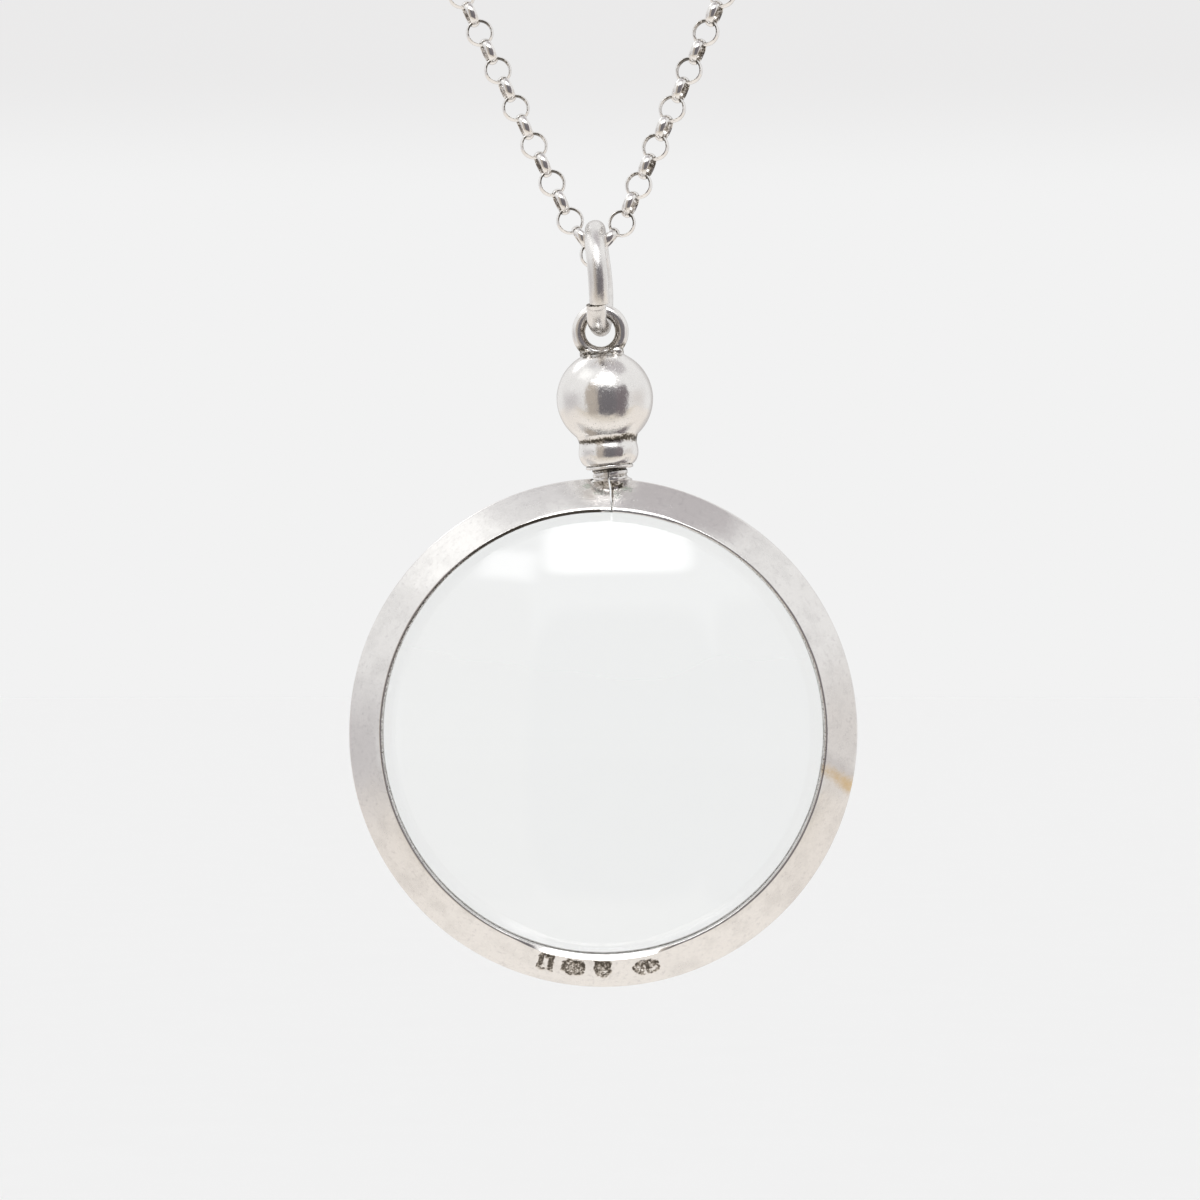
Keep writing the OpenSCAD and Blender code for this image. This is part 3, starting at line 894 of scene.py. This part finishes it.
def front_link(side, k):
    """Middle and direction of the front link k on one side: the first two spread wider."""
    middle = (LOW_LINK_AT + min(k, 2) * LINK_PITCH * lean(side, FIRST_LEAN[side])
              + max(k - 2, 0) * LINK_PITCH * lean(side, STRAND_LEAN[side]))
    if k == 1:
        middle = middle + LINK_PUSH * lean(side, FIRST_LEAN[side] + math.pi / 2)
    return middle, lean(side, FIRST_LEAN[side] if k <= 1 else STRAND_LEAN[side])


def curve_points(route, steps):
    """A smooth curve through all but the first and last points of a route."""
    points = []
    for a, b, c, d in zip(route, route[1:], route[2:], route[3:]):
        for t in np.arange(steps) / steps:
            points.append(0.5 * (2 * b + (c - a) * t + (2 * a - 5 * b + 4 * c - d) * t * t
                                 + (3 * b - a - 3 * c + d) * t ** 3))
    return points + [route[-2]]


def back_path(side):
    """The hidden line of the chain on one side, from the last front link to the closing ring."""
    last, along = front_link(side, FRONT_LINKS)
    start = last + TUBE_LEAD * along
    mirror = np.array([side, 1, 1])
    route = [start - BEFORE_ROUTE * along, start]
    route += [mirror * np.array(point, float) for point in SIDE_ROUTE]
    route += [mirror * np.array(PAST_CLASP, float)]
    end = CLASP_RING_AT + np.array([side * (CLASP_R + END_LINK_OUT), 0, 0])
    return np.array([last] + curve_points(route, 24) + [end])


def spaced(path, pitch):
    """Points along a path at a spacing as near the pitch as a whole number of steps allows."""
    gaps = np.linalg.norm(np.diff(path, axis=0), axis=1)
    run = np.concatenate([[0], np.cumsum(gaps)])
    count = int(round(run[-1] / pitch))
    stops = np.linspace(0, run[-1], count + 1)
    return np.stack([np.interp(stops, run, path[:, axis]) for axis in range(3)], axis=1)


def rolled(normal, along, angle):
    """A normal turned about a direction."""
    return normal * math.cos(angle) + np.cross(along, normal) * math.sin(angle)


def link_points(middle, along, axis, turns, sides, size):
    """One link, a wire that is flat inside and domed outside, as a grid of points, and its tarnish with
    painted shade.
    """
    around, bend = full_turn(sides), full_turn(turns)[:, None]
    bulge = np.cos(around)
    out = np.where(bulge > 0, LINK_OUT * np.abs(bulge) ** 1.5, -LINK_IN * np.abs(bulge) ** 0.7)
    wide = LINK_HALF_WIDTH * np.sin(around)[:, None] * axis
    r = size * LINK_MID_R + out
    flat = (r * np.cos(bend))[:, :, None] * along + (r * np.sin(bend))[:, :, None] * np.cross(axis, along)
    # Tarnish inside each link, with painted shade that makes it wider and darker in the upper half of a
    # link that faces the front.
    upper_shade = abs(axis[1]) * np.clip(np.cos(bend), 0, 1)
    dark = (1 - smooth(0, 0.07, out - 0.06 * upper_shade)) * (1 + 0.8 * upper_shade)
    return middle + flat + wide, dark


def chain_piece(name, links, turns, sides, seed, node, size=1):
    """Many links as one piece: each row of links is (middle, direction, axis)."""
    draw = random.Random(seed)
    shape, darks, grains = Shape(), [], []
    for index, (middle, along, axis) in enumerate(links):
        grid, dark = link_points(middle, along, axis, turns, sides, size + draw.uniform(-0.006, 0.002))
        shape.add_grid(grid, close_rows=True)
        darks.append((dark * draw.uniform(0.33, 0.53)).ravel())
        grains.append((grid - middle).reshape(-1, 3) + (3.1 * index, 0, 0))
    piece = shape.build(name)
    mark(piece, "grain", np.concatenate(grains))
    mark(piece, "dark", np.concatenate(darks))
    finish_piece(piece, np.eye(4), "necklace", node, CHAIN_SILVER, sharp=60)


def front_chain():
    """The links on both sides of the bail."""
    depth = np.array([0.0, 1, 0])
    draw = random.Random(5)
    links = [(LOW_LINK_AT - np.array([LOW_LINK_LEFT, 0, 0]), np.array([0.0, 0, 1]), depth)]
    for side in (-1, 1):
        for k in range(1, FRONT_LINKS + 1):
            middle, along = front_link(side, k)
            ease = float(smooth(0, 4, k))
            roll = STRAND_ROLL[side] * ease + math.radians(draw.uniform(-2, 2)) * ease
            normal = rolled(depth, along, roll)
            links.append((middle, along, normal if k % 2 == 0 else np.cross(along, normal)))
    chain_piece("chain_links_front", links, 44, 16, 6, "chain_front")


def back_chain():
    """The links on the hidden way round the neck, up to the closing ring."""
    draw = random.Random(7)
    links = []
    for side in (-1, 1):
        middles = spaced(back_path(side), LINK_PITCH)
        last = len(middles) - 1
        normals, alongs = [], []
        normal = rolled(np.array([0.0, 1, 0]), front_link(side, FRONT_LINKS)[1], STRAND_ROLL[side])
        for k in range(last + 1):
            along = unit(middles[min(k + 1, last)] - middles[max(k - 1, 0)])
            normal = unit(normal - along * (normal @ along))
            normals.append(normal)
            alongs.append(along)
        upright = np.array([0.0, 0, 1])
        end_axis = normals[last] if last % 2 == 0 else np.cross(alongs[last], normals[last])
        twist = math.atan2(np.cross(end_axis, upright) @ alongs[last], end_axis @ upright)
        twist = (twist + math.pi / 2) % math.pi - math.pi / 2
        for k in range(1, last + 1):
            loose = 0 if k == last else math.radians(draw.uniform(-2, 2))
            turned = rolled(normals[k], alongs[k], twist * k / last + loose)
            axis = turned if k % 2 == 0 else np.cross(alongs[k], turned)
            links.append((middles[k], alongs[k], axis))
    chain_piece("chain_links_back", links, 26, 8, 8, "chain_back", BACK_LINK_SIZE)


def closing_ring():
    """The plain closing ring at the nape, with the small lug that it is opened by."""
    grid = ring_grid(CLASP_R, CLASP_WIRE_R, full_turn(96), 28)[:, :, [0, 2, 1]] * (1, -1, 1)
    ring = grid_piece("closing_ring", grid, close_rows=True)
    low = -(CLASP_R + CLASP_WIRE_R + 0.8)
    profile = [(0, low)] + arc(0.32, low + 0.16, 0.16, -90, 0, 6) + [
        (0.48, low + 0.3), (0.4, low + 0.5), (0.42, low + 0.8), (0.46, low + 1.1), (0, low + 1.1)]
    combine(ring, "UNION", grid_piece("lug", spin(profile, 28)))
    x, y, z = points_of(ring).T
    mark(ring, "grain", np.stack([np.arctan2(z, x) * CLASP_R, np.hypot(x, z), y], axis=1))
    mark(ring, "dark", 0.7 * hill(z, -2.72, 0.1) * (np.hypot(x, y) < 0.6))
    place = axes(*np.eye(3), CLASP_RING_AT)
    finish_piece(ring, place, "necklace", "clasp", CHAIN_SILVER)


# Studio

# What the silver and glass mirror. Azimuth 0 is in front and 90 at the right; angles are in degrees.
# side and up are the reaches about a patch's own middle line and level, which elevation tilts up.
Patch = namedtuple("Patch", "azimuth elevation side up edge colour oval", defaults=[False])
BASE_LIGHT = (0.855, 0.85, 0.845, 1)
PATCHES = [
    Patch(-105, 74, (-15, 15), (-13, 13), 0.5, (0.7, 0.69, 0.7), True),
    Patch(75, 76, (-22, 22), (-22, 22), 0.12, (0.515, 0.49, 0.5), True),
    Patch(-90, -5, (-26, 26), (-13, 13), 0.85, (0.6, 0.58, 0.585)),
    Patch(85, 0, (-22, 22), (-12, 12), 0.85, (0.72, 0.69, 0.67)),
    Patch(172, 2, (-26, 26), (-26, 26), 0.5, (0.56, 0.54, 0.53)),
    Patch(-33, -4, (-16, 16), (-37, 37), 0.08, (0.47, 0.42, 0.37)),
    Patch(5, -4, (-23, 23), (-37, 32), 0.08, (0.165, 0.155, 0.165)),
    Patch(42, -4, (-15, 15), (-37, 33), 0.08, (0.19, 0.165, 0.175)),
    Patch(5, 15, (-20.5, 19.5), (22.5, 50), 0.1, (1.6, 1.6, 1.6)),
    Patch(5, 15, (-18.5, 17.5), (22, 37), 0.14, (5.0, 5.0, 5.0)),
    Patch(-27, 38, (-6, 6), (-3.2, 3.2), 0.5, (4.0, 4.0, 4.0)),
    Patch(-72, 49, (-15, 15), (-11.5, 11.5), 0.2, (1.13, 1.13, 1.12)),
    Patch(-133, 45, (-10, 10), (-8, 8), 0.15, (2.2, 2.2, 2.2)),
]
TABLE_REACH = 4.66
TABLE_FRONT = 1.19
TABLE_MIDDLE = (0.93, 0.885, 0.835, 1)
TABLE_SIDE = (0.87, 0.82, 0.77, 1)
TABLE_EDGE = (0.74, 0.68, 0.6, 1)
FLOOR_LIGHT = (0.942, 0.942, 0.947, 1)
BACKDROP = (0.888, 0.888, 0.888, 1)
BACKDROP_TOP = (0.83, 0.825, 0.825, 1)


def off_middle(n, angle, low, high):
    """How far an angle is from the middle of a reach: 1 at its ends."""
    away = n.math("ABSOLUTE", n.math("SUBTRACT", angle, math.radians((low + high) / 2)))
    return n.math("DIVIDE", away, math.radians((high - low) / 2))


def patch_mask(n, direction, patch):
    """1 inside a patch of the surroundings and 0 outside it."""
    for angle, axis in ((-patch.azimuth, "Z_AXIS"), (patch.elevation, "X_AXIS")):
        turn = {"Vector": direction, "Angle": math.radians(angle)}
        direction = n.add("VectorRotate", turn, rotation_type=axis).outputs[0]
    x, y, z = n.parts(direction)
    side = n.math("ARCTAN2", x, n.times(y, -1.0))
    up = n.math("ARCSINE", z)
    wide, high = off_middle(n, side, *patch.side), off_middle(n, up, *patch.up)
    power = 2.0 if patch.oval else 6.0
    reach = n.math("POWER", n.plus(n.math("POWER", wide, power), n.math("POWER", high, power)), 1 / power)
    return n.step(reach, 1 - patch.edge, 1 + patch.edge, 1.0, 0.0)


def table_colour(n, direction, colour):
    """The table below: bright in the middle, dimmer to the sides and at its front edge."""
    x, y, z = n.parts(direction)
    down = n.math("MAXIMUM", n.times(z, -1.0), 0.001)
    across = n.math("DIVIDE", n.math("ABSOLUTE", x), down)
    ahead = n.math("DIVIDE", n.times(y, -1.0), down)
    board = n.mix(n.step(across, 0.6, 1.4), TABLE_MIDDLE, TABLE_SIDE)
    board = n.mix(n.step(ahead, 0.3, 0.9), board, TABLE_EDGE)
    share = n.times(n.step(across, TABLE_REACH * 0.95, TABLE_REACH * 1.05, 1.0, 0.0),
                   n.step(ahead, TABLE_FRONT * 0.95, TABLE_FRONT * 1.05, 1.0, 0.0))
    share = n.times(share, n.step(z, -0.01, 0.0, 1.0, 0.0))
    return n.mix(share, colour, board)


def studio_world():
    """Soft even light with softboxes, a dark front and a grey ceiling, and a plain pale backdrop."""
    world = bpy.data.worlds.new("studio")
    world.use_nodes = True
    bpy.context.scene.world = world
    n = Nodes(world.node_tree)
    direction = n.add("TexCoord", {}).outputs["Generated"]
    colour = table_colour(n, direction, BASE_LIGHT)
    for patch in PATCHES:
        colour = n.mix(patch_mask(n, direction, patch), colour, patch.colour + (1,))
    backdrop = n.mix(n.step(n.parts(direction)[2], 0.075, 0.1), BACKDROP, BACKDROP_TOP)
    path = n.add("LightPath", {}).outputs
    seen = n.math("MAXIMUM", path["Is Camera Ray"], path["Is Transmission Ray"])
    lighting = n.mix(path["Is Glossy Ray"], FLOOR_LIGHT, colour)
    background = n.add("Background", {"Color": n.mix(seen, lighting, backdrop)})
    n.add("OutputWorld", {0: background.outputs[0]})


FLOOR_Z = -250
FLOOR_R = 5000


def studio_floor():
    """A wide pale floor under the hanging locket, finer towards its middle."""
    profile = [(FLOOR_R * share ** 3, 0) for share in np.linspace(0, 1, 24)]
    floor = grid_piece("floor", spin(profile, 96))
    floor.data.transform(Matrix.Translation((LOCKET_AT[0], LOCKET_AT[1], FLOOR_Z)))
    floor.data.transform(Matrix.Scale(MM, 4))
    if floor.data.polygons[0].normal.z < 0:
        floor.data.flip_normals()
    floor.data.materials.append(pale_floor("floor_board"))
    floor.visible_glossy = False


# Camera, at the photograph's view: square on to the locket, level with the middle of the frame
PHOTO_SIDE = 1200
MM_PER_PIXEL = 0.071
LOCKET_PIXEL = (603.2, 732.6)
LENS = 160
SENSOR = 36


def photo_camera():
    """The camera at the photograph's distance, height and framing."""
    data = bpy.data.cameras.new("camera")
    data.lens, data.sensor_width = LENS, SENSOR
    data.clip_start, data.clip_end = 0.01, 20
    camera = bpy.data.objects.new("camera", data)
    bpy.context.scene.collection.objects.link(camera)
    away = LENS / SENSOR * PHOTO_SIDE * MM_PER_PIXEL
    right = (PHOTO_SIDE / 2 - LOCKET_PIXEL[0]) * MM_PER_PIXEL
    up = (LOCKET_PIXEL[1] - PHOTO_SIDE / 2) * MM_PER_PIXEL
    camera.location = (np.array(LOCKET_AT) + (right, -away, up)) * MM
    camera.rotation_euler = (math.radians(90), 0, 0)
    bpy.context.scene.camera = camera


photo_camera()
studio_world()
studio_floor()
bpy.context.scene.view_settings.view_transform = "Standard"

CHAIN_SILVER = silver("chain_silver", shine=0.11, scratch=0.3, cloud=0.4, pit=0.15, streak=(3, 3, 3))
BAIL_SILVER = silver("bail_silver", shine=0.22, scratch=1.1, cloud=0.8, pit=0.35, dents=2, speckle=0.35)
KNOB_SILVER = silver("knob_silver", shine=0.17, scratch=0.3, cloud=0.4, pit=0.38, streak=(1.2, 2.4, 1.2),
                     dents=2.5, speckle=0.2)
FRAME_SILVER = silver("frame_silver", shine=0.18, scratch=0.5, cloud=0.8, pit=0.12, streak=(0.35, 5, 5),
                      tint=(0.915, 0.9, 0.886), dents=1, speckle=0.4)
CLEAR_GLASS = clear_glass("clear_glass")

locket_ring()
lens("front_lens", "front_glass", 1)
lens("back_lens", "back_glass", -1)
ball_knob()
bail_ring()
front_chain()
back_chain()
closing_ring()
